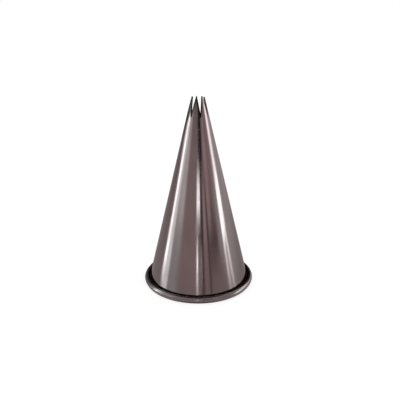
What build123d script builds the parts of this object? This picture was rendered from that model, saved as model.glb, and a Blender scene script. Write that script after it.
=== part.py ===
"""A piping nozzle: a rolled steel cone with a toothed mouth, closed by a seam and standing in a base ring."""
from build123d import *
import os
from math import cos, radians, sin

# Driving dimensions, in millimetres and degrees. Z is the axis of the cone, the foot stands at Z = 0 and
# the front of the nozzle faces -Y.
overall_height = 51.2
rim_diameter = 30.3
mouth_diameter = 3.5
sheet_thickness = 0.4

# The base ring: a flat web under the foot of the wall, and a rounded lip that stands round it.
ring_web_thickness = 0.4
lip_height = 1.75
lip_width = 0.95
lip_belly = 0.6
lip_top_radius = 0.28
groove_width = 0.34

# The teeth of the mouth, and the first notch's angle from the front.
tooth_count = 7
notch_depth = 5.0
tooth_tip_width = 0.15
first_notch_angle = 11.9

# The seam runs up to the notch with this number, counted from the first one, and ends a little past its point.
seam_notch_number = 3
seam_width = 0.36
seam_root_height = 0.1
seam_past_notch = 0.2

# The weld in the groove.
weld_leg = 0.2

# How far every cut runs past what it cuts.
overrun = 1.0

# Sizes that follow from the ones above.
rim_radius = rim_diameter / 2
mouth_radius = mouth_diameter / 2
lip_inner_radius = rim_radius - lip_width
foot_radius = lip_inner_radius - groove_width
foot_height = ring_web_thickness
wall_slope = (foot_radius - mouth_radius) / (overall_height - foot_height)
wall_across = sheet_thickness * (1 + wall_slope**2) ** 0.5
notch_pitch = 360 / tooth_count
notch_width = mouth_diameter * sin(radians(notch_pitch / 2)) - tooth_tip_width
notch_bottom = overall_height - notch_depth
seam_angle = first_notch_angle + seam_notch_number * notch_pitch


def wall_radius(height, inset=0.0):
    """Radius of the outside of the wall at a height, or of a surface that lies an inset inside it."""
    return mouth_radius + wall_slope * (overall_height - height) - inset


def outward_plane(angle):
    """Plane on the axis that faces out of the nozzle at an angle from the front, with its Y axis up."""
    outward = (sin(radians(angle)), -cos(radians(angle)), 0)
    across = (cos(radians(angle)), sin(radians(angle)), 0)
    return Plane(origin=(0, 0, 0), x_dir=across, z_dir=outward)


def turned(*outline):
    """Solid turned round the axis from the corners of its section, each a radius and a height."""
    section = Plane.XZ * make_face(Polyline(*outline, close=True))
    return revolve(section, axis=Axis.Z)


def rolled_sheet(root_height=0.0):
    """The whole cone of sheet, thickened inwards by a root height."""
    inset = wall_across + root_height
    return turned(
        (wall_radius(foot_height, inset), foot_height),
        (wall_radius(foot_height), foot_height),
        (wall_radius(overall_height), overall_height),
        (wall_radius(overall_height, inset), overall_height),
    )


def notch(number):
    """Wedge that cuts one V notch from the axis outwards, widened above the mouth by the overrun."""
    top = overall_height + overrun
    half_width = notch_width / 2 * (top - notch_bottom) / notch_depth
    outline = Polyline((-half_width, top), (half_width, top), (0, notch_bottom), close=True)
    plane = outward_plane(first_notch_angle + number * notch_pitch)
    return extrude(plane * make_face(outline), amount=foot_radius)


def seam_slot():
    """Upright slab from the axis outwards, as wide as the seam, up to just past the point of its notch."""
    top = notch_bottom + seam_past_notch
    outline = Polyline(
        (-seam_width / 2, -overrun),
        (seam_width / 2, -overrun),
        (seam_width / 2, top),
        (-seam_width / 2, top),
        close=True,
    )
    return extrude(outward_plane(seam_angle) * make_face(outline), amount=foot_radius + overrun)


def cone_wall():
    """The rolled sheet, open along the seam and notched at the mouth."""
    wall = rolled_sheet() - seam_slot()
    for number in range(tooth_count):
        wall -= notch(number)
    return wall


def side_seam():
    """The weld that fills the slot in the wall, flush outside and standing proud by its root inside."""
    return (rolled_sheet(seam_root_height) & seam_slot()) - notch(seam_notch_number)


def base_ring():
    """The ring in one piece: flat web, bellied lip with a rounded top, and a groove between lip and wall."""
    bore_radius = wall_radius(foot_height, wall_across)
    shoulder_radius = rim_radius - lip_belly
    with BuildSketch(Plane.XZ) as section:
        with BuildLine():
            Line((bore_radius, 0), (shoulder_radius, 0))
            ThreePointArc((shoulder_radius, 0), (rim_radius, lip_height / 2), (shoulder_radius, lip_height))
            Polyline(
                (shoulder_radius, lip_height),
                (lip_inner_radius, lip_height),
                (lip_inner_radius, ring_web_thickness),
                (bore_radius, ring_web_thickness),
                (bore_radius, 0),
            )
        make_face()
        top_corners = section.vertices().group_by(Axis.Y)[-1]
        fillet(top_corners, radius=lip_top_radius)
    return revolve(section.sketch, axis=Axis.Z)


def ring_weld():
    """Fillet of weld in the corner between the outside of the wall and the web of the ring."""
    return turned(
        (foot_radius, foot_height),
        (foot_radius + weld_leg, foot_height),
        (wall_radius(foot_height + weld_leg), foot_height + weld_leg),
    )


pieces = {
    "cone_wall": cone_wall,
    "side_seam": side_seam,
    "base_ring": base_ring,
    "ring_weld": ring_weld,
}

os.makedirs("parts", exist_ok=True)
for name, make in pieces.items():
    piece = make()
    piece.label = name
    export_step(piece, f"parts/{name}.step")
    print(f"{name}: {piece.volume:.2f} cubic millimetres")
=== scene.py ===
"""A piping nozzle: a polished steel cone with a toothed mouth, its seam, its base ring and their weld."""
import math
from contextlib import contextmanager

import bmesh
import bpy
from mathutils import Euler, Matrix, Vector


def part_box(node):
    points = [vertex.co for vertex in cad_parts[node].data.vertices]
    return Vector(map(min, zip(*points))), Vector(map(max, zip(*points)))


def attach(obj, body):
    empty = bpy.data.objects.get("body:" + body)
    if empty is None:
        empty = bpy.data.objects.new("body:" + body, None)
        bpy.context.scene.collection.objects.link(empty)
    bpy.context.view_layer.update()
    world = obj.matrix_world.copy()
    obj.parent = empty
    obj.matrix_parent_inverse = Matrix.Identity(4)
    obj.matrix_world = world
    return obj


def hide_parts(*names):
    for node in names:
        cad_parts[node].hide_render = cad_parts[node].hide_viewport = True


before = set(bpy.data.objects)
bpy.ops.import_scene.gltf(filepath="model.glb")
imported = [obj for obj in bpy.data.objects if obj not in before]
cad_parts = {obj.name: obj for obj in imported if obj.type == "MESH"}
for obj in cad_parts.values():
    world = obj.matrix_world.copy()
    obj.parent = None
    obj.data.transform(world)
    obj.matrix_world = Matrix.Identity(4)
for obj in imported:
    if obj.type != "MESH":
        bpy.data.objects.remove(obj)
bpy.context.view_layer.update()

MM = 0.001

# How near counts as the same place, how far an exact cut may snap, and how far apart points are merged.
TINY = 0.01 * MM
EXACT = TINY / 100
MERGE_REACH = TINY / 5

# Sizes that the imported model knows.
wall_low, wall_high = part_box("cone_wall")
ring_low, ring_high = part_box("base_ring")
FOOT_HEIGHT = wall_low.z
TOP_HEIGHT = wall_high.z
FOOT_RADIUS = (wall_high.x - wall_low.x) / 2
RIM_RADIUS = (ring_high.x - ring_low.x) / 2
LIP_HEIGHT = ring_high.z

# Sizes that it was built with.
MOUTH_RADIUS = 1.75 * MM
SHEET = 0.4 * MM
LIP_WIDTH = 0.95 * MM
LIP_BELLY = 0.6 * MM
LIP_TOP_RADIUS = 0.28 * MM
TOOTH_COUNT = 7
NOTCH_DEPTH = 5.0 * MM
NOTCH_ROOT = 0.3 * MM
TOOTH_TIP_WIDTH = 0.15 * MM
FIRST_NOTCH_ANGLE = 11.9
SEAM_NOTCH_NUMBER = 3
SEAM_WIDTH = 0.36 * MM
SEAM_ROOT_HEIGHT = 0.1 * MM
SEAM_PAST_NOTCH = 0.2 * MM
WELD_LEG = 0.2 * MM

# What follows from them.
PITCH = 360 / TOOTH_COUNT
SLOPE = (FOOT_RADIUS - MOUTH_RADIUS) / (TOP_HEIGHT - FOOT_HEIGHT)
WALL_ACROSS = SHEET * math.sqrt(1 + SLOPE**2)
BORE_RADIUS = FOOT_RADIUS - WALL_ACROSS
LIP_INNER_RADIUS = RIM_RADIUS - LIP_WIDTH
NOTCH_BOTTOM = TOP_HEIGHT - NOTCH_DEPTH
NOTCH_HALF_WIDTH = MOUTH_RADIUS * math.sin(math.radians(PITCH / 2)) - TOOTH_TIP_WIDTH / 2
NOTCH_WIDENING = NOTCH_HALF_WIDTH / NOTCH_DEPTH
SEAM_ANGLE = FIRST_NOTCH_ANGLE + SEAM_NOTCH_NUMBER * PITCH
CLEAN_NOTCH_ANGLE = FIRST_NOTCH_ANGLE - PITCH

# How finely the pieces are divided, and their smallest forms.
COLUMNS_PER_TOOTH = 36
WALL_RINGS = 46
RING_STEPS = 288
LIP_ARC_STEPS = 16
LIP_TOP_STEPS = 6
EDGE_ROUNDING = 0.025 * MM
EDGE_ROUNDING_STEPS = 2
SEAM_RIPPLES = 120
SEAM_CUTS_ACROSS = 3
SEAM_CROWN = 0.02 * MM
SEAM_RIPPLE_HALF_WIDTH = SEAM_WIDTH / 3
SEAM_RIPPLE_DEPTH = 0.015 * MM
WELD_RIPPLE_DEPTH = 0.02 * MM

# Angles in degrees from which an edge is rounded, and from which it is shaded sharp.
ROUNDED_FROM = 50
WALL_SHARP_FROM = 40
RING_SHARP_FROM = 35
WELD_SHARP_FROM = 50


def direction(angle):
    """Level direction out of the nozzle at an angle from its front, in degrees towards the right."""
    turn = math.radians(angle)
    return Vector((math.sin(turn), -math.cos(turn), 0))


def across(angle):
    """Level direction along the surface at an angle from the front."""
    return direction(angle + 90)


def wall_radius(height):
    """Radius of the outside of the wall at a height."""
    return MOUTH_RADIUS + SLOPE * (TOP_HEIGHT - height)


def angle_between(angle, other):
    """Smallest turn in degrees between two angles."""
    return abs((angle - other + 180) % 360 - 180)


def angle_of(point):
    """Angle of a point round the axis, from the front."""
    return math.degrees(math.atan2(point.x, -point.y))


def at(value, target):
    """Whether a length is the one that is meant."""
    return abs(value - target) < TINY


def middle(element):
    """Centre of a vertex, edge or face."""
    if isinstance(element, bmesh.types.BMVert):
        return element.co
    if isinstance(element, bmesh.types.BMEdge):
        return (element.verts[0].co + element.verts[1].co) / 2
    return element.calc_center_median()


def work_on(piece):
    """Selects one piece alone."""
    bpy.ops.object.select_all(action="DESELECT")
    piece.select_set(True)
    bpy.context.view_layer.objects.active = piece


@contextmanager
def editing(piece):
    """Edit mode on one piece alone."""
    work_on(piece)
    bpy.ops.object.mode_set(mode="EDIT")
    yield
    bpy.ops.object.mode_set(mode="OBJECT")


def pick(piece, kind, test):
    """Selects the verts, edges or faces of the piece being edited for which the test is true."""
    modes = {"verts": "VERT", "edges": "EDGE", "faces": "FACE"}
    bpy.ops.mesh.select_mode(type=modes[kind])
    bpy.ops.mesh.select_all(action="DESELECT")
    mesh = bmesh.from_edit_mesh(piece.data)
    for element in getattr(mesh, kind):
        if test(element):
            element.select_set(True)
    mesh.select_flush_mode()
    bmesh.update_edit_mesh(piece.data)


def slice_at(point, normal, reach=EXACT, **settings):
    """Cuts what is selected in the piece being edited along a plane, through old points within reach."""
    bpy.ops.mesh.bisect(plane_co=point, plane_no=normal, threshold=reach, **settings)


def slice_all(point, normal, **settings):
    """Cuts the whole piece being edited along a plane."""
    bpy.ops.mesh.select_all(action="SELECT")
    slice_at(point, normal, **settings)


def close_up():
    """Merges what meets in the piece being edited, and turns its faces outwards."""
    bpy.ops.mesh.select_all(action="SELECT")
    bpy.ops.mesh.remove_doubles(threshold=MERGE_REACH)
    bpy.ops.mesh.normals_make_consistent(inside=False)


def started(name):
    """Names the primitive just added, and puts its place into its mesh."""
    piece = bpy.context.object
    piece.name = name
    piece.data.name = name
    bpy.ops.object.transform_apply(location=True, rotation=True, scale=True)
    return piece


def smooth(piece, sharp_from):
    """Smooth shading, with sharp edges from an angle in degrees."""
    work_on(piece)
    bpy.ops.object.shade_smooth_by_angle(angle=math.radians(sharp_from))


def flat_section(name, inner, outer, low, high):
    """Upright rectangle in the XZ plane, the start of a section that is spun round the axis."""
    bpy.ops.object.select_all(action="DESELECT")
    bpy.ops.mesh.primitive_plane_add(
        size=1,
        location=((inner + outer) / 2, 0, (low + high) / 2),
        rotation=(math.pi / 2, 0, 0),
    )
    bpy.context.object.scale = (outer - inner, high - low, 1)
    return started(name)


def spin_section():
    """Turns the outline being edited all the way round the axis, without the face that it enclosed."""
    bpy.ops.mesh.select_mode(type="FACE")
    bpy.ops.mesh.select_all(action="SELECT")
    bpy.ops.mesh.delete(type="ONLY_FACE")
    bpy.ops.mesh.select_mode(type="VERT")
    bpy.ops.mesh.select_all(action="SELECT")
    bpy.ops.mesh.spin(steps=RING_STEPS, angle=math.tau, center=(0, 0, 0), axis=(0, 0, 1))
    close_up()


def ring_heights():
    """Heights of the wall's rings: even up to the notches, then one where a notch's side meets a column."""
    straight = NOTCH_BOTTOM - FOOT_HEIGHT
    heights = [FOOT_HEIGHT + straight * (ring + 1) / WALL_RINGS for ring in range(WALL_RINGS)]
    for column in range(1, COLUMNS_PER_TOOTH // 2):
        turn = math.sin(math.radians(PITCH / COLUMNS_PER_TOOTH * column))
        rise = wall_radius(NOTCH_BOTTOM) * turn / (NOTCH_WIDENING + SLOPE * turn)
        if rise < NOTCH_DEPTH - 2 * EDGE_ROUNDING:
            heights.append(NOTCH_BOTTOM + rise)
    return heights


def cut_notch(wall, angle):
    """Cuts one V notch out of the bare sheet: a cut along each side, then the faces between them go."""
    lean = math.atan(NOTCH_WIDENING)
    point = Vector((0, 0, NOTCH_BOTTOM))
    root = point + Vector((0, 0, NOTCH_ROOT))

    def near(element):
        place = middle(element)
        return place.z > NOTCH_BOTTOM and angle_between(angle_of(place), angle) < PITCH / 2

    def inside(face):
        place = middle(face)
        offset = abs(place.dot(across(angle)))
        open_half_width = NOTCH_WIDENING * (place.z - NOTCH_BOTTOM)
        return near(face) and place.z > root.z and offset < open_half_width

    for side in (-1, 1):
        normal = across(angle) * side * math.cos(lean) - Vector((0, 0, 1)) * math.sin(lean)
        pick(wall, "faces", near)
        slice_at(point, normal, TINY)
    pick(wall, "faces", near)
    slice_at(root, (0, 0, 1))
    pick(wall, "faces", inside)
    bpy.ops.mesh.delete(type="FACE")


def cut_slot(wall):
    """Opens the bare sheet along the seam, from the foot to just past the point of its notch."""
    top = NOTCH_BOTTOM + SEAM_PAST_NOTCH
    half_width = across(SEAM_ANGLE) * SEAM_WIDTH / 2

    def near(face):
        return angle_between(angle_of(middle(face)), SEAM_ANGLE) < PITCH / 4

    def below(face):
        return near(face) and middle(face).z < top

    def inside(face):
        return below(face) and abs(middle(face).dot(across(SEAM_ANGLE))) < SEAM_WIDTH / 2

    pick(wall, "faces", near)
    slice_at((0, 0, top), (0, 0, 1))
    for side in (-1, 1):
        pick(wall, "faces", below)
        slice_at(half_width * side, across(SEAM_ANGLE), TINY)
    pick(wall, "faces", inside)
    bpy.ops.mesh.delete(type="FACE")


def free_edge(edge):
    """Whether an edge of the sheet is a cut one that is rounded: not at the foot, and not along the seam."""
    place = middle(edge)
    aside = abs(place.dot(across(SEAM_ANGLE)))
    by_seam = angle_between(angle_of(place), SEAM_ANGLE) < PITCH and aside < SEAM_WIDTH
    welded = by_seam and place.z < NOTCH_BOTTOM + NOTCH_ROOT / 2
    turns = edge.calc_face_angle(0) > math.radians(ROUNDED_FROM)
    return turns and not welded and not at(place.z, FOOT_HEIGHT)


def thicken(sheet):
    """Gives the bare sheet its thickness, inwards."""
    work_on(sheet)
    solid = sheet.modifiers.new("Solidify", "SOLIDIFY")
    solid.thickness = SHEET
    solid.offset = -1
    solid.use_even_offset = True
    solid.use_quality_normals = True
    bpy.ops.object.modifier_apply(modifier=solid.name)


def make_wall():
    """The sheet: an open cone, its notches and slot cut, given its thickness and slightly rounded edges."""
    bpy.ops.object.select_all(action="DESELECT")
    bpy.ops.mesh.primitive_cone_add(
        vertices=TOOTH_COUNT * COLUMNS_PER_TOOTH,
        radius1=FOOT_RADIUS,
        radius2=MOUTH_RADIUS,
        depth=TOP_HEIGHT - FOOT_HEIGHT,
        end_fill_type="NOTHING",
        location=(0, 0, (TOP_HEIGHT + FOOT_HEIGHT) / 2),
        rotation=(0, 0, math.radians(FIRST_NOTCH_ANGLE)),
    )
    wall = started("wall")
    with editing(wall):
        for height in ring_heights():
            slice_all((0, 0, height), (0, 0, 1))
        for number in range(TOOTH_COUNT):
            cut_notch(wall, FIRST_NOTCH_ANGLE + number * PITCH)
        cut_slot(wall)
        close_up()
    thicken(wall)
    with editing(wall):
        slice_all((0, 0, FOOT_HEIGHT), (0, 0, 1), clear_inner=True, use_fill=True)
        pick(wall, "edges", free_edge)
        bpy.ops.mesh.bevel(
            offset=EDGE_ROUNDING,
            segments=EDGE_ROUNDING_STEPS,
            affect="EDGES",
            clamp_overlap=True,
        )
    smooth(wall, WALL_SHARP_FROM)
    return wall


def make_ring():
    """The base ring: web, groove and bellied lip are shaped as one flat section, then spun round the axis."""
    shoulder = RIM_RADIUS - LIP_BELLY
    arc_radius = (LIP_BELLY**2 + (LIP_HEIGHT / 2) ** 2) / (2 * LIP_BELLY)
    arc_angle = 2 * math.asin(LIP_HEIGHT / 2 / arc_radius)
    arc_centre = (RIM_RADIUS - arc_radius, 0, LIP_HEIGHT / 2)
    shoulder_rounding = LIP_TOP_RADIUS * math.tan((math.pi - arc_angle) / 4)
    ring = flat_section("rim_ring", BORE_RADIUS, shoulder, 0, LIP_HEIGHT)

    def in_groove(face):
        place = middle(face)
        return place.z > FOOT_HEIGHT and place.x < LIP_INNER_RADIUS

    def behind_belly(edge):
        return all(at(vert.co.x, shoulder) for vert in edge.verts)

    def within(edge):
        place = middle(edge)
        upright = at(place.x, LIP_INNER_RADIUS) and place.z < FOOT_HEIGHT
        level = at(place.z, FOOT_HEIGHT) and place.x > LIP_INNER_RADIUS
        return upright or level

    with editing(ring):
        slice_all((0, 0, FOOT_HEIGHT), (0, 0, 1))
        slice_all((LIP_INNER_RADIUS, 0, 0), (1, 0, 0))
        pick(ring, "faces", in_groove)
        bpy.ops.mesh.delete(type="FACE")
        bpy.ops.mesh.select_all(action="SELECT")
        bpy.ops.mesh.delete(type="ONLY_FACE")
        pick(ring, "edges", lambda edge: behind_belly(edge) or within(edge))
        bpy.ops.mesh.delete(type="EDGE")
        pick(ring, "verts", lambda vert: at(vert.co.x, shoulder) and at(vert.co.z, 0))
        bpy.ops.mesh.spin(steps=LIP_ARC_STEPS, angle=arc_angle, center=arc_centre, axis=(0, 1, 0))
        bpy.ops.mesh.select_all(action="SELECT")
        bpy.ops.mesh.remove_doubles(threshold=MERGE_REACH)
        for corner, length in ((LIP_INNER_RADIUS, LIP_TOP_RADIUS), (shoulder, shoulder_rounding)):
            pick(ring, "verts", lambda vert: at(vert.co.x, corner) and at(vert.co.z, LIP_HEIGHT))
            bpy.ops.mesh.bevel(offset=length, segments=LIP_TOP_STEPS, affect="VERTICES")
        spin_section()
    smooth(ring, RING_SHARP_FROM)
    return ring


def make_seam():
    """The side seam: a bar of weld along the slot, crowned and rippled outside, and proud inside."""
    lean = math.atan(SLOPE)
    outward = direction(SEAM_ANGLE) * math.cos(lean) + Vector((0, 0, math.sin(lean)))
    along = Vector((0, 0, math.cos(lean))) - direction(SEAM_ANGLE) * math.sin(lean)
    foot = direction(SEAM_ANGLE) * FOOT_RADIUS + Vector((0, 0, FOOT_HEIGHT))
    thickness = SHEET + SEAM_ROOT_HEIGHT
    start = -thickness
    length = (NOTCH_BOTTOM + SEAM_PAST_NOTCH - FOOT_HEIGHT) / math.cos(lean) - start
    bpy.ops.object.select_all(action="DESELECT")
    bpy.ops.mesh.primitive_cube_add(
        size=1,
        location=foot + along * (start + length / 2) - outward * thickness / 2,
        rotation=(-lean, 0, math.radians(SEAM_ANGLE)),
        scale=(SEAM_WIDTH, thickness, length),
    )
    seam = started("seam_bead")

    def off_centre(vert):
        return abs(vert.co.dot(across(SEAM_ANGLE)))

    def outside(vert):
        return at((vert.co - foot).dot(outward), 0)

    def dips(vert):
        step = round(((vert.co - foot).dot(along) - start) / length * 2 * SEAM_RIPPLES)
        return step % 2 == 1

    def in_ripple(vert):
        return outside(vert) and dips(vert) and off_centre(vert) < SEAM_RIPPLE_HALF_WIDTH

    def runs_along(edge):
        return (edge.verts[0].co - edge.verts[1].co).length > length / 2

    def runs_across(edge):
        return abs((edge.verts[0].co - edge.verts[1].co).dot(across(SEAM_ANGLE))) > TINY

    with editing(seam):
        pick(seam, "edges", runs_along)
        bpy.ops.mesh.subdivide(number_cuts=2 * SEAM_RIPPLES - 1)
        pick(seam, "edges", runs_across)
        bpy.ops.mesh.subdivide(number_cuts=SEAM_CUTS_ACROSS)
        pick(seam, "verts", in_ripple)
        bpy.ops.transform.translate(value=-outward * SEAM_RIPPLE_DEPTH)
        pick(seam, "verts", lambda vert: outside(vert) and off_centre(vert) < TINY)
        bpy.ops.transform.translate(value=outward * SEAM_CROWN)
        slice_all((0, 0, FOOT_HEIGHT), (0, 0, 1), clear_inner=True, use_fill=True)
        close_up()
    smooth(seam, WELD_SHARP_FROM)
    return seam


def make_groove_weld():
    """The weld in the groove: a small fillet spun round the wall's foot, rippled at every second step."""
    top = FOOT_HEIGHT + WELD_LEG
    weld = flat_section("groove_weld", FOOT_RADIUS, FOOT_RADIUS + WELD_LEG, FOOT_HEIGHT, top)

    def dips(vert):
        step = round(math.degrees(math.atan2(vert.co.y, vert.co.x)) / 360 * RING_STEPS)
        return step % 2 == 1 and math.hypot(vert.co.x, vert.co.y) > FOOT_RADIUS + TINY

    with editing(weld):
        slice_all((FOOT_RADIUS, 0, top), (1, 0, 1), clear_outer=True)
        pick(weld, "verts", lambda vert: at(vert.co.z, top))
        bpy.ops.transform.translate(value=(wall_radius(top) - FOOT_RADIUS, 0, 0))
        spin_section()
        pick(weld, "verts", dips)
        shrink = 1 - WELD_RIPPLE_DEPTH / FOOT_RADIUS
        bpy.ops.transform.resize(value=(shrink, shrink, 1), center_override=(0, 0, 0))
    smooth(weld, WELD_SHARP_FROM)
    return weld


def feed(tree, socket, value):
    """Links a socket to another one, or sets it to a value. None leaves it as it is."""
    if isinstance(value, bpy.types.NodeSocket):
        tree.links.new(value, socket)
    elif value is not None:
        socket.default_value = value


def add(tree, kind, values=(), **settings):
    """Adds a node, sets it up, feeds its inputs in their order, and returns its first output."""
    node = tree.nodes.new("ShaderNode" + kind)
    for setting, value in settings.items():
        setattr(node, setting, value)
    for socket, value in zip(node.inputs, values):
        feed(tree, socket, value)
    return node.outputs[0]


def calc(tree, operation, *values):
    """A sum on numbers."""
    return add(tree, "Math", values, operation=operation)


def fade(tree, value, start, end):
    """0 before the start and 1 past the end, with a soft step between them. The end may be the smaller."""
    return add(tree, "MapRange", (value, start, end, 0, 1), interpolation_type="SMOOTHSTEP")


def between(tree, mask, first, second):
    """A number that goes from the first to the second as a mask goes from 0 to 1."""
    return add(tree, "MapRange", (mask, 0, 1, first, second))


def blend(tree, mask, first, second):
    """A colour that goes from the first to the second as a mask goes from 0 to 1."""
    node = tree.nodes.new("ShaderNodeMix")
    node.data_type = "RGBA"
    feed(tree, node.inputs[0], mask)
    # The colours of a Mix node are its inputs 6 and 7, and its output 2.
    feed(tree, node.inputs[6], first)
    feed(tree, node.inputs[7], second)
    return node.outputs[2]


def new_group(name, takes, gives):
    """An empty node group, with what comes into it and what goes out, by name."""
    group = bpy.data.node_groups.new(name, "ShaderNodeTree")
    for label in takes:
        kind = "NodeSocketVector" if label == "Place" else "NodeSocketFloat"
        group.interface.new_socket(label, in_out="INPUT", socket_type=kind)
    for label in gives:
        group.interface.new_socket(label, in_out="OUTPUT", socket_type="NodeSocketFloat")
    start = group.nodes.new("NodeGroupInput")
    end = group.nodes.new("NodeGroupOutput")
    return group, start.outputs, end.inputs


def use(tree, group, *values):
    """Places a group in a tree with its own values, and returns its first output."""
    node = tree.nodes.new("ShaderNodeGroup")
    node.node_tree = group
    for socket, value in zip(node.inputs, values):
        feed(tree, socket, value)
    return node.outputs[0]


def split(tree, vector):
    """The three parts of a vector."""
    return add(tree, "SeparateXYZ", (vector,)).node.outputs


def noise(tree, place, **inputs):
    """Uneven noise, with its inputs set by name."""
    node = tree.nodes.new("ShaderNodeTexNoise")
    feed(tree, node.inputs["Vector"], place)
    for name, value in inputs.items():
        feed(tree, node.inputs[name], value)
    return node.outputs[0]


def bump(tree, distance, height):
    """A normal tilted by a height."""
    node = tree.nodes.new("ShaderNodeBump")
    feed(tree, node.inputs["Distance"], distance)
    feed(tree, node.inputs["Height"], height)
    return node.outputs[0]


def own_place(tree):
    """Where a point lies on its own piece."""
    return tree.nodes.new("ShaderNodeTexCoord").outputs["Object"]


def reach_along(tree, place, heading):
    """How far a place reaches from the axis in a level direction."""
    return add(tree, "VectorMath", (place, heading), operation="DOT_PRODUCT").node.outputs["Value"]


def axis_distance(tree, x, y):
    """How far a point lies from the axis."""
    return calc(tree, "SQRT", calc(tree, "ADD", calc(tree, "MULTIPLY", x, x), calc(tree, "MULTIPLY", y, y)))


def azimuth_of(tree, x, y):
    """Angle of a point round the axis from the front, in radians."""
    return calc(tree, "ARCTAN2", x, calc(tree, "MULTIPLY", y, -1))


# The shared marks: how far lathe lines drift, which part of each noise makes a mark, the slants of the
# scratches in degrees and how drawn out they are, and how fine and how uneven the edge of the groove's
# painted shade is.
LINE_DRIFT = 90
LINE_SPAN = (0.3, 0.7)
SMUDGE_SPAN = (0.38, 0.68)
SCRATCH_SPAN = (0.68, 0.74)
SCRATCH_SLANTS = (35, -62)
SCRATCH_STRETCH = 0.03
GROOVE_SHADE_SCALE = 900
GROOVE_SHADE_UNEVENNESS = 3


def turning_lines():
    """Fine rings round the axis, as a lathe and a polishing belt leave them."""
    group, takes, gives = new_group("turning_lines", ("Place", "Spacing"), ("Lines",))
    x, y, z = split(group, takes["Place"])
    drift_x = calc(group, "MULTIPLY", x, LINE_DRIFT)
    drift_y = calc(group, "MULTIPLY", y, LINE_DRIFT)
    flattened = add(group, "CombineXYZ", (drift_x, drift_y, calc(group, "DIVIDE", z, takes["Spacing"])))
    lines = noise(group, flattened, Scale=1, Detail=3, Roughness=0.65)
    feed(group, gives["Lines"], fade(group, lines, *LINE_SPAN))
    return group


def smudges():
    """Wide uneven patches, as wiping and handling leave them."""
    group, takes, gives = new_group("smudges", ("Place", "Size"), ("Smudge",))
    scale = calc(group, "DIVIDE", 1, takes["Size"])
    patches = noise(group, takes["Place"], Scale=scale, Detail=4, Roughness=0.6)
    feed(group, gives["Smudge"], fade(group, patches, *SMUDGE_SPAN))
    return group


def hairlines():
    """Thin scratches that run up and across the surface at two slants."""
    group, takes, gives = new_group("hairlines", ("Place", "Spacing"), ("Scratch",))
    scale = calc(group, "DIVIDE", 1, takes["Spacing"])
    masks = []
    for slant in SCRATCH_SLANTS:
        turned = add(group, "Mapping", (takes["Place"],), vector_type="POINT")
        turned.node.inputs["Rotation"].default_value = (math.radians(slant), math.radians(slant / 2), 0)
        turned.node.inputs["Scale"].default_value = (1, 1, SCRATCH_STRETCH)
        masks.append(fade(group, noise(group, turned, Scale=scale, Detail=1, Roughness=0.5), *SCRATCH_SPAN))
    feed(group, gives["Scratch"], calc(group, "MAXIMUM", *masks))
    return group


def soft_waves():
    """Slow unevenness of a rolled sheet."""
    group, takes, gives = new_group("soft_waves", ("Place", "Size"), ("Height",))
    scale = calc(group, "DIVIDE", 1, takes["Size"])
    feed(group, gives["Height"], noise(group, takes["Place"], Scale=scale, Detail=1, Roughness=0.3))
    return group


def groove_shade_mask():
    """Painted shade of the groove within a radius and under a height, with an uneven edge."""
    group, takes, gives = new_group("painted_groove_shade", ("Place", "Radius", "Height", "Edge"), ("Shade",))
    x, y, z = split(group, takes["Place"])
    uneven = noise(group, takes["Place"], Scale=GROOVE_SHADE_SCALE, Detail=2, Roughness=0.6)
    most = calc(group, "MULTIPLY", takes["Edge"], GROOVE_SHADE_UNEVENNESS)
    jitter = calc(group, "MULTIPLY", calc(group, "SUBTRACT", uneven, 0.5), most)
    past = calc(group, "ADD", calc(group, "SUBTRACT", axis_distance(group, x, y), takes["Radius"]), jitter)
    above = calc(group, "ADD", calc(group, "SUBTRACT", z, takes["Height"]), jitter)
    within = fade(group, past, takes["Edge"], 0)
    under = fade(group, above, takes["Edge"], 0)
    feed(group, gives["Shade"], calc(group, "MULTIPLY", under, within))
    return group


def sheet_depth():
    """How deep a point lies in the sheet of the wall, from 0 outside to 1 on its inner face."""
    group, takes, gives = new_group("sheet_depth", ("Place",), ("Depth",))
    x, y, z = split(group, takes["Place"])
    outside = calc(group, "MULTIPLY_ADD", z, -SLOPE, wall_radius(0))
    behind = calc(group, "SUBTRACT", outside, axis_distance(group, x, y))
    feed(group, gives["Depth"], calc(group, "DIVIDE", behind, WALL_ACROSS))
    return group


def notch_distance():
    """Level distance in metres from the nearest notch's side, plus how far a point lies under its root."""
    group, takes, gives = new_group("notch_distance", ("Place",), ("Distance",))
    x, y, z = split(group, takes["Place"])
    turn = calc(group, "SUBTRACT", azimuth_of(group, x, y), math.radians(FIRST_NOTCH_ANGLE))
    turn = calc(group, "WRAP", turn, math.radians(PITCH / 2), -math.radians(PITCH / 2))
    sideways = calc(group, "ABSOLUTE", calc(group, "SINE", turn))
    aside = calc(group, "MULTIPLY", sideways, axis_distance(group, x, y))
    above = calc(group, "SUBTRACT", z, NOTCH_BOTTOM)
    open_width = calc(group, "MULTIPLY", calc(group, "MAXIMUM", above, 0), NOTCH_WIDENING)
    below = calc(group, "MAXIMUM", calc(group, "SUBTRACT", NOTCH_ROOT, above), 0)
    feed(group, gives["Distance"], calc(group, "ADD", calc(group, "SUBTRACT", aside, open_width), below))
    return group


def seam_distance():
    """Level distance in metres from the side seam, with a metre added on the far half of the nozzle."""
    group, takes, gives = new_group("seam_distance", ("Place",), ("Distance",))
    aside = calc(group, "ABSOLUTE", reach_along(group, takes["Place"], across(SEAM_ANGLE)))
    opposite = calc(group, "LESS_THAN", reach_along(group, takes["Place"], direction(SEAM_ANGLE)), 0)
    feed(group, gives["Distance"], calc(group, "ADD", aside, opposite))
    return group


LINES = turning_lines()
SMUDGES = smudges()
SCRATCHES = hairlines()
WAVES = soft_waves()
GROOVE_SHADE = groove_shade_mask()
DEPTH = sheet_depth()
NOTCH_DISTANCE = notch_distance()
SEAM_DISTANCE = seam_distance()


def new_finish(name):
    """A material to be wired up, with its tree and its shader's inputs."""
    material = bpy.data.materials.new(name)
    material.use_nodes = True
    tree = material.node_tree
    return material, tree, tree.nodes["Principled BSDF"].inputs


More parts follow.
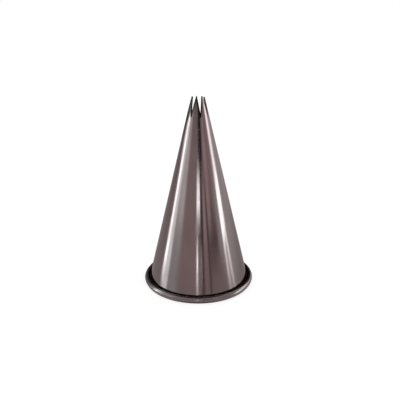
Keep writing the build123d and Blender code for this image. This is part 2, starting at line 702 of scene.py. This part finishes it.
def marks(tree, place, line_spacing, smudge_size, scratch_spacing):
    """Masks of the lathe lines, smudges and scratches on a polished surface."""
    lines = use(tree, LINES, place, line_spacing)
    smudge = use(tree, SMUDGES, place, smudge_size)
    scratch = use(tree, SCRATCHES, place, scratch_spacing)
    return lines, smudge, scratch


def tint(tree, colour, mask, strength, other):
    """A colour that goes towards another by a mask, at most by a strength."""
    return blend(tree, calc(tree, "MULTIPLY", mask, strength), colour, other)


def dulled(tree, rough, mask, other):
    """A roughness that rises to another where a mask is full."""
    return calc(tree, "MAXIMUM", rough, calc(tree, "MULTIPLY", mask, other))


def finish_steel(tree, shader, colour, rough, shade_in_groove):
    """Feeds the colour and roughness of a steel to its shader, with the painted shade of the groove over
    them.
    """
    feed(tree, shader["Base Color"], blend(tree, shade_in_groove, colour, GROOVE_SHADE_COLOUR))
    feed(tree, shader["Metallic"], between(tree, shade_in_groove, 1, 0))
    feed(tree, shader["Roughness"], dulled(tree, rough, shade_in_groove, GROOVE_SHADE_ROUGHNESS))


# Colours of the steel, of its heat tints, and of the shade painted on it.
STEEL = (0.46, 0.42, 0.415, 1)
STEEL_WIPED = (0.43, 0.39, 0.38, 1)
CUT_STEEL = (0.13, 0.125, 0.125, 1)
TIP_SHADE_COLOUR = (0.12, 0.118, 0.12, 1)
NOTCH_SHADE_COLOUR = (0.03, 0.027, 0.026, 1)
INNER_STEEL = (0.26, 0.24, 0.235, 1)
# Painted shade of the inner face high up, near black.
INNER_SHADE_HIGH_UP = (0.02, 0.018, 0.018, 1)
STRAW_TINT = (0.36, 0.27, 0.17, 1)
BLUE_TINT = (0.2, 0.2, 0.27, 1)
WELD_STRAW = (0.3, 0.26, 0.22, 1)
WELD_BLUE = (0.2, 0.18, 0.2, 1)
# Painted shade of the groove: near black, not metal, and matte.
GROOVE_SHADE_COLOUR = (0.01, 0.006, 0.006, 1)
GROOVE_SHADE_ROUGHNESS = 0.75

# A radius and a height in metres that no point of the nozzle reaches.
NO_LIMIT = 1

# The wall's marks. A span goes from where a mark sets in to where it is full.
WALL_LINE_SPACING = 0.12 * MM
WALL_SMUDGE_SIZE = 9 * MM
WALL_SCRATCH_SPACING = 0.35 * MM
WALL_WAVE_SIZE = 9 * MM
# The foot of the wall, down in the groove, carries painted shade.
WALL_SHADE_HEIGHT = 1.25 * MM
WALL_SHADE_EDGE = 0.15 * MM
INSIDE_SPAN = (0.15, 0.6)
INNER_SHADE_SPAN = (TOP_HEIGHT - 15 * MM, TOP_HEIGHT - 8 * MM)

# Heat tint beside the seam, and how strong it is.
STRAW_SPAN = (1.3 * MM, 0.5 * MM)
STRAW_STRENGTH = 0.6
BLUE_SPAN = (0.55 * MM, 0.2 * MM)
BLUE_STRENGTH = 0.7

# The sides of the notches carry painted shade, less of it at the back and left of the clean notch, where the
# cuts are bright.
NOTCH_SHADE_SPAN = (0.36 * MM, 0.15 * MM)
NOTCH_SHADE_STRENGTH = 0.95
NOTCH_SHADE_FRONT_ANGLE = -12
NOTCH_SHADE_FRONT_SPAN = (1.0 * MM, 1.8 * MM)
NOTCH_SHADE_BEHIND = 0.35
NOTCH_SHADE_LEFT = 0.3
CUT_SPAN = (0.2 * MM, 0.1 * MM)
CLEAN_NOTCH_SPAN = (-0.1 * MM, 0.1 * MM)

# The tip is dulled and carries painted shade to the left of a slant, broken by the lathe lines.
TIP_SHADE_SLANT = 3
TIP_SHADE_SPAN = (TOP_HEIGHT + 1.5 * MM, TOP_HEIGHT + 2.3 * MM)
TIP_SHADE_ON_LINES = 0.85

# Roughness and relief of the wall: its own from clean to smudged, and what each mark adds or rises to.
WALL_ROUGHNESS = (0.09, 0.14)
WALL_LINE_ROUGHNESS = 0.03
WALL_SCRATCH_ROUGHNESS = 0.05
STRAW_ROUGHNESS = 0.25
NOTCH_AND_TIP_ROUGHNESS = 0.35
INSIDE_ROUGHNESS = 0.42
WALL_LINE_RELIEF = 0.008
WALL_SCRATCH_RELIEF = -0.015
WALL_RELIEF = 0.02 * MM


def polished_wall():
    """Polished sheet: lathe lines and smudges outside, dull inside and on the cuts, tinted by the seam, with
    painted shade along the notches, on the tip, at the foot and high up inside.
    """
    material, tree, shader = new_finish("polished_wall_steel")
    place = own_place(tree)
    x, _, z = split(tree, place)
    lines, smudge, scratch = marks(tree, place, WALL_LINE_SPACING, WALL_SMUDGE_SIZE, WALL_SCRATCH_SPACING)
    waves = use(tree, WAVES, place, WALL_WAVE_SIZE)
    inside = fade(tree, use(tree, DEPTH, place), *INSIDE_SPAN)
    # Painted shade at the foot of the wall, in the groove.
    shade_in_groove = use(tree, GROOVE_SHADE, place, NO_LIMIT, WALL_SHADE_HEIGHT, WALL_SHADE_EDGE)

    from_notch = use(tree, NOTCH_DISTANCE, place)
    front = fade(tree, reach_along(tree, place, direction(NOTCH_SHADE_FRONT_ANGLE)), *NOTCH_SHADE_FRONT_SPAN)
    right = fade(tree, reach_along(tree, place, across(CLEAN_NOTCH_ANGLE)), *CLEAN_NOTCH_SPAN)
    # Painted shade along the notch sides, stronger towards the front.
    notch_shade = calc(tree, "MULTIPLY", fade(tree, from_notch, *NOTCH_SHADE_SPAN), between(tree, front, NOTCH_SHADE_BEHIND, 1))
    notch_shade = calc(tree, "MULTIPLY", notch_shade, between(tree, right, NOTCH_SHADE_LEFT, 1))
    cut_face = calc(tree, "MULTIPLY", fade(tree, from_notch, *CUT_SPAN), between(tree, right, 1, 0))
    # Painted shade on the tip, to the left of a slant.
    tip_shade = fade(tree, calc(tree, "MULTIPLY_ADD", x, -TIP_SHADE_SLANT, z), *TIP_SHADE_SPAN)
    from_seam = use(tree, SEAM_DISTANCE, place)
    straw = fade(tree, from_seam, *STRAW_SPAN)
    blue = fade(tree, from_seam, *BLUE_SPAN)

    colour = blend(tree, smudge, STEEL, STEEL_WIPED)
    colour = tint(tree, colour, straw, STRAW_STRENGTH, STRAW_TINT)
    colour = tint(tree, colour, blue, BLUE_STRENGTH, BLUE_TINT)
    colour = tint(tree, colour, notch_shade, NOTCH_SHADE_STRENGTH, NOTCH_SHADE_COLOUR)
    colour = tint(tree, colour, tip_shade, between(tree, lines, 1, TIP_SHADE_ON_LINES), TIP_SHADE_COLOUR)
    # The inner face is darker than the outside, and painted shade takes it to near black high up towards the
    # mouth.
    inner = blend(tree, fade(tree, z, *INNER_SHADE_SPAN), INNER_STEEL, INNER_SHADE_HIGH_UP)
    colour = blend(tree, inside, colour, blend(tree, cut_face, inner, CUT_STEEL))

    rough = between(tree, smudge, *WALL_ROUGHNESS)
    rough = calc(tree, "MULTIPLY_ADD", lines, WALL_LINE_ROUGHNESS, rough)
    rough = calc(tree, "MULTIPLY_ADD", scratch, WALL_SCRATCH_ROUGHNESS, rough)
    rough = dulled(tree, rough, straw, STRAW_ROUGHNESS)
    rough = dulled(tree, rough, calc(tree, "MAXIMUM", notch_shade, tip_shade), NOTCH_AND_TIP_ROUGHNESS)
    rough = dulled(tree, rough, inside, INSIDE_ROUGHNESS)
    finish_steel(tree, shader, colour, rough, shade_in_groove)

    height = calc(tree, "MULTIPLY_ADD", lines, WALL_LINE_RELIEF, waves)
    height = calc(tree, "MULTIPLY_ADD", scratch, WALL_SCRATCH_RELIEF, height)
    feed(tree, shader["Normal"], bump(tree, WALL_RELIEF, height))
    return material


# The ring's marks. The painted shade of the groove reaches past the lip's inner edge, further on the right
# than on the left.
RING_LINE_SPACING = 0.15 * MM
RING_SMUDGE_SIZE = 3.5 * MM
RING_SCRATCH_SPACING = 0.22 * MM
RING_SHADE_RADIUS = LIP_INNER_RADIUS + 0.24 * MM
RING_SHADE_LEAN = 0.014
RING_SHADE_EDGE = 0.12 * MM
RING_ROUGHNESS = (0.16, 0.24)
RING_SCRATCH_ROUGHNESS = 0.08
RING_LINE_RELIEF = 0.1
RING_SCRATCH_RELIEF = -0.3
RING_RELIEF = 0.004 * MM


def polished_ring():
    """The ring: polished lip with wear marks round it, painted shade in the groove."""
    material, tree, shader = new_finish("polished_ring_steel")
    place = own_place(tree)
    lines, smudge, scratch = marks(tree, place, RING_LINE_SPACING, RING_SMUDGE_SIZE, RING_SCRATCH_SPACING)
    # Painted shade in the groove and over the lip's inner edge, wider on the right.
    limit = calc(tree, "MULTIPLY_ADD", split(tree, place)[0], RING_SHADE_LEAN, RING_SHADE_RADIUS)
    shade_in_groove = use(tree, GROOVE_SHADE, place, limit, NO_LIMIT, RING_SHADE_EDGE)
    rough = between(tree, smudge, *RING_ROUGHNESS)
    rough = calc(tree, "MULTIPLY_ADD", scratch, RING_SCRATCH_ROUGHNESS, rough)
    finish_steel(tree, shader, blend(tree, smudge, STEEL, STEEL_WIPED), rough, shade_in_groove)
    height = calc(tree, "MULTIPLY", scratch, RING_SCRATCH_RELIEF)
    height = calc(tree, "MULTIPLY_ADD", lines, RING_LINE_RELIEF, height)
    feed(tree, shader["Normal"], bump(tree, RING_RELIEF, height))
    return material


# The weld metal's patches of tint, and its grain.
WELD_PATCH_SIZE = 1.2 * MM
WELD_ROUGHNESS = (0.34, 0.46)
WELD_GRAIN_SCALE = 9000
WELD_RELIEF = 0.004 * MM


def weld_steel():
    """Weld metal: dull, a little uneven, with straw and blue heat tint."""
    material, tree, shader = new_finish("weld_steel")
    place = own_place(tree)
    patches = use(tree, SMUDGES, place, WELD_PATCH_SIZE)
    grain = noise(tree, place, Scale=WELD_GRAIN_SCALE, Detail=3, Roughness=0.6)
    shader["Metallic"].default_value = 1
    feed(tree, shader["Base Color"], blend(tree, patches, WELD_STRAW, WELD_BLUE))
    feed(tree, shader["Roughness"], between(tree, patches, *WELD_ROUGHNESS))
    feed(tree, shader["Normal"], bump(tree, WELD_RELIEF, grain))
    return material


weld_finish = weld_steel()
for piece, finish, node, slot in (
    (make_wall(), polished_wall(), "cone_wall", "polished_wall"),
    (make_ring(), polished_ring(), "base_ring", "polished_ring"),
    (make_seam(), weld_finish, "side_seam", "weld_metal"),
    (make_groove_weld(), weld_finish, "ring_weld", "weld_metal"),
):
    piece.data.materials.append(finish)
    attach(piece, "root")
    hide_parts(node)


# The studio. What the polished metal mirrors is painted on a wide shell that only mirrored rays see: strips
# of light, grey boards and black flags, each at an azimuth from the front and an elevation, in degrees. They
# were placed against the photograph, until the streaks on the metal lay as they do there.
SHELL_RADIUS = 2.0
SURROUND = (0.33, 0.245, 0.247, 1)

# Tints of the boards.
WHITE = (0.965, 0.975, 1)
CREAM = (0.975, 1, 0.99)
SILVER = (1, 0.935, 0.955)
PINK = (1, 0.92, 0.94)
MAUVE = (1, 0.72, 0.75)
ROSE = (1, 0.86, 0.89)
PLUM = (1, 0.5, 0.53)
GREY = (0.93, 1, 1)

# Level zones of the shell: each sets in from its first elevation to its second, in its colour.
ZONES = (
    (13, 16, (0.29, 0.24, 0.24, 1)),
    (15.5, 18.5, (0.165, 0.148, 0.145, 1)),
    (22, 30, (0.31, 0.28, 0.28, 1)),
    (54, 68, (0.02, 0.016, 0.016, 1)),
    (1, -5, (0.285, 0.215, 0.217, 1)),
    (-7, -13, (0.29, 0.25, 0.25, 1)),
    (-60, -78, (0.13, 0.12, 0.115, 1)),
)

# The boards: middle azimuth, half width, softness of the sides, lowest and highest elevation, softness of the
# ends, brightness and tint. Later ones lie over earlier ones.
BOARDS = (
    # Behind the nozzle.
    (180, 48, 14, 15, 55, 4, 0.03, PLUM),
    (180, 60, 30, -64, -38, 8, 0.55, SILVER),
    (-140, 30, 8, -5, 12, 3, 0.225, ROSE),
    (-135, 28, 4, 4, 22, 2, 0.19, GREY),
    # To the left.
    (-74, 22, 12, -9, 15, 3, 0.4, SILVER),
    (-76, 24, 12, 22, 40, 4, 0.52, SILVER),
    (-100, 34, 8, 9, 22, 2, 0.16, GREY),
    (-68, 15.5, 5, 1, 13.5, 3.5, 0.7, SILVER),
    (-85, 7, 3, -10, 11, 1, 1.2, WHITE),
    (-83.5, 8.5, 3, 8.5, 11.4, 0.6, 1.85, SILVER),
    (-108, 7, 3, 2.5, 8, 1.5, 1.35, SILVER),
    (-95.2, 4.3, 1.8, -9.4, 1, 1.2, 2.7, WHITE),
    (-95, 6.3, 2, 0, 10.1, 0.6, 2.8, WHITE),
    (-98, 9, 4, 20, 40, 4, 1.7, WHITE),
    # To the right.
    (115, 40, 12, -11, 12, 5, 0.48, PINK),
    (112, 22, 8, 3.5, 20, 2, 0.75, PINK),
    (69, 7, 4, -3, 6, 2, 0.42, PINK),
    (90.5, 12, 4, 3, 17, 2, 1.35, PINK),
    (92.5, 8, 3, 3, 17, 1.5, 2.15, PINK),
    (101, 14, 4, 10, 19, 2, 1.75, PINK),
    (98, 6, 4, 1, 5, 2, 0.95, PINK),
    (86.3, 10, 2.5, -0.5, 3.4, 1, 2.75, CREAM),
    (84.6, 8.8, 2.2, -3.2, 0.5, 1, 3.0, CREAM),
    (77.5, 2.8, 1, -7.5, -3, 2, 1.35, PINK),
    (89, 2.8, 1, -9, -3, 2, 1.5, PINK),
    (114, 13, 6, 20, 40, 4, 1.1, PINK),
    # In front.
    (37, 8.5, 4, 4.6, 17, 1.5, 0.46, MAUVE),
    (20, 2.5, 1.5, 3, 8.5, 1.5, 0.5, MAUVE),
    (44, 14, 5, -1, 2.8, 1, 0.12, MAUVE),
    (47, 4, 3, 2.8, 6, 1, 0.17, MAUVE),
    (28.5, 1.9, 1, -6, 9, 3, 0.05, MAUVE),
    (4, 10, 2, 2.6, 5.0, 0.6, 0.01, MAUVE),
    (0, 6, 1.2, 6.6, 10.5, 0.6, 2.5, CREAM),
    (-3.2, 1.3, 0.5, -1, 2.8, 0.5, 4.0, CREAM),
    (-3, 2, 1, -8, -0.5, 1, 0.64, PINK),
    (10.5, 3.5, 2, -8, 11, 2, 0.05, MAUVE),
    (9, 13.5, 4, 11.2, 24, 1, 0.03, PLUM),
    (7.8, 1.1, 0.8, -1, 2.5, 0.7, 1.0, MAUVE),
)


def board_mask():
    """Mask of one board on the shell, with soft sides and ends."""
    takes = ("Azimuth", "Elevation", "Middle", "Half Width", "Side Softness", "Low", "High", "End Softness")
    group, takes, gives = new_group("board", takes, ("Mask",))
    turn = calc(group, "WRAP", calc(group, "SUBTRACT", takes["Azimuth"], takes["Middle"]), 180, -180)
    side = calc(group, "SUBTRACT", calc(group, "ABSOLUTE", turn), takes["Half Width"])
    beside = fade(group, side, takes["Side Softness"], calc(group, "MULTIPLY", takes["Side Softness"], -1))
    under = calc(group, "SUBTRACT", takes["Low"], takes["Elevation"])
    over = calc(group, "SUBTRACT", takes["Elevation"], takes["High"])
    past = calc(group, "MAXIMUM", under, over)
    ends = fade(group, past, takes["End Softness"], calc(group, "MULTIPLY", takes["End Softness"], -1))
    feed(group, gives["Mask"], calc(group, "MULTIPLY", beside, ends))
    return group


def painted_shell():
    """The material of the shell, with every zone and board painted over the plain surround."""
    material = bpy.data.materials.new("surround")
    material.use_nodes = True
    tree = material.node_tree
    tree.nodes.clear()
    board = board_mask()
    x, y, z = split(tree, own_place(tree))
    azimuth = calc(tree, "DEGREES", azimuth_of(tree, x, y))
    elevation = calc(tree, "DEGREES", calc(tree, "ARCSINE", calc(tree, "DIVIDE", z, SHELL_RADIUS)))
    colour = SURROUND
    for start, end, zone in ZONES:
        colour = blend(tree, fade(tree, elevation, start, end), colour, zone)
    for *shape, brightness, shade in BOARDS:
        mask = use(tree, board, azimuth, elevation, *shape)
        colour = blend(tree, mask, colour, (*(brightness * part for part in shade), 1))
    output = tree.nodes.new("ShaderNodeOutputMaterial")
    tree.links.new(add(tree, "Emission", (colour,)), output.inputs["Surface"])
    return material


def make_shell():
    """The shell round the whole scene, which only mirrored rays see."""
    bpy.ops.object.select_all(action="DESELECT")
    bpy.ops.mesh.primitive_uv_sphere_add(segments=96, ring_count=64, radius=SHELL_RADIUS)
    shell = bpy.context.object
    shell.name = "surround"
    shell.data.materials.append(painted_shell())
    shell.visible_camera = False
    shell.visible_diffuse = False
    shell.visible_shadow = False
    shell.visible_transmission = False


def seen_directly(tree):
    """1 where the camera looks, straight, in a mirror or through glass, and 0 for the light on the object."""
    paths = tree.nodes.new("ShaderNodeLightPath").outputs
    mirrored = calc(tree, "MAXIMUM", paths["Is Camera Ray"], paths["Is Glossy Ray"])
    return calc(tree, "MAXIMUM", mirrored, paths["Is Transmission Ray"])


# The floor shines where it is seen, and is darker where less light falls on it. The dark disc lies under the
# nozzle, within the rim.
FLOOR_SIZE = 4
FLOOR_COLOUR = (0.32, 0.32, 0.32, 1)
FLOOR_ROUGHNESS = 0.8
FLOOR_FILL = 0.76
SHADE_RADIUS = RIM_RADIUS - 0.36 * MM
SHADE_HEIGHT = 0.02 * MM
SHADE_COLOUR = (0.02, 0.02, 0.02, 1)
SHADE_ROUGHNESS = 1
WHITE_LIGHT = (1, 1, 1, 1)
LIGHT_STRENGTH = 0.9


def make_floor():
    """Plain white floor that keeps a faint shadow. Mirrored rays don't see it."""
    bpy.ops.object.select_all(action="DESELECT")
    bpy.ops.mesh.primitive_plane_add(size=FLOOR_SIZE)
    floor = bpy.context.object
    floor.name = "floor"
    floor.visible_glossy = False
    paint, tree, shader = new_finish("floor_paint")
    shader["Base Color"].default_value = FLOOR_COLOUR
    shader["Roughness"].default_value = FLOOR_ROUGHNESS
    shader["Emission Color"].default_value = WHITE_LIGHT
    feed(tree, shader["Emission Strength"], calc(tree, "MULTIPLY", seen_directly(tree), FLOOR_FILL))
    floor.data.materials.append(paint)


def make_inner_shade():
    """Dark disc on the floor under the nozzle, where no light comes."""
    bpy.ops.object.select_all(action="DESELECT")
    bpy.ops.mesh.primitive_circle_add(
        vertices=96,
        radius=SHADE_RADIUS,
        fill_type="NGON",
        location=(0, 0, SHADE_HEIGHT),
    )
    shade = bpy.context.object
    shade.name = "inner_shade"
    dark, _, shader = new_finish("inner_shade")
    shader["Base Color"].default_value = SHADE_COLOUR
    shader["Roughness"].default_value = SHADE_ROUGHNESS
    shade.data.materials.append(dark)


def light_world():
    """Even soft light on the object, and plain white wherever the camera sees past it."""
    world = bpy.data.worlds.new("studio")
    bpy.context.scene.world = world
    world.use_nodes = True
    tree = world.node_tree
    light = tree.nodes["Background"]
    light.inputs["Color"].default_value = WHITE_LIGHT
    light.inputs["Strength"].default_value = LIGHT_STRENGTH
    white = add(tree, "Background", (WHITE_LIGHT, 1))
    mixed = add(tree, "MixShader", (seen_directly(tree), light.outputs[0], white))
    tree.links.new(mixed, tree.nodes["World Output"].inputs["Surface"])


# The camera's place and angles, fitted to the outline of the nozzle in the photograph.
CAMERA_DISTANCE = 140.6 * MM
CAMERA_HEIGHT = 73.24 * MM
CAMERA_PITCH = 19.54
CAMERA_YAW = -0.19
CAMERA_ROLL = -0.15
CAMERA_LENS = 49.54
CAMERA_SENSOR = 36
CAMERA_NEAREST = 10 * MM


def place_camera():
    """The camera in front of the nozzle."""
    data = bpy.data.cameras.new("camera")
    data.sensor_width = CAMERA_SENSOR
    data.lens = CAMERA_LENS
    data.clip_start = CAMERA_NEAREST
    camera = bpy.data.objects.new("camera", data)
    bpy.context.scene.collection.objects.link(camera)
    camera.location = (0, -CAMERA_DISTANCE, CAMERA_HEIGHT)
    aim = Euler((math.radians(90 - CAMERA_PITCH), 0, math.radians(CAMERA_YAW))).to_matrix()
    camera.rotation_euler = (aim @ Matrix.Rotation(math.radians(CAMERA_ROLL), 3, "Z")).to_euler()
    bpy.context.scene.camera = camera
    bpy.context.scene.view_settings.view_transform = "Standard"


make_shell()
make_floor()
make_inner_shade()
light_world()
place_camera()
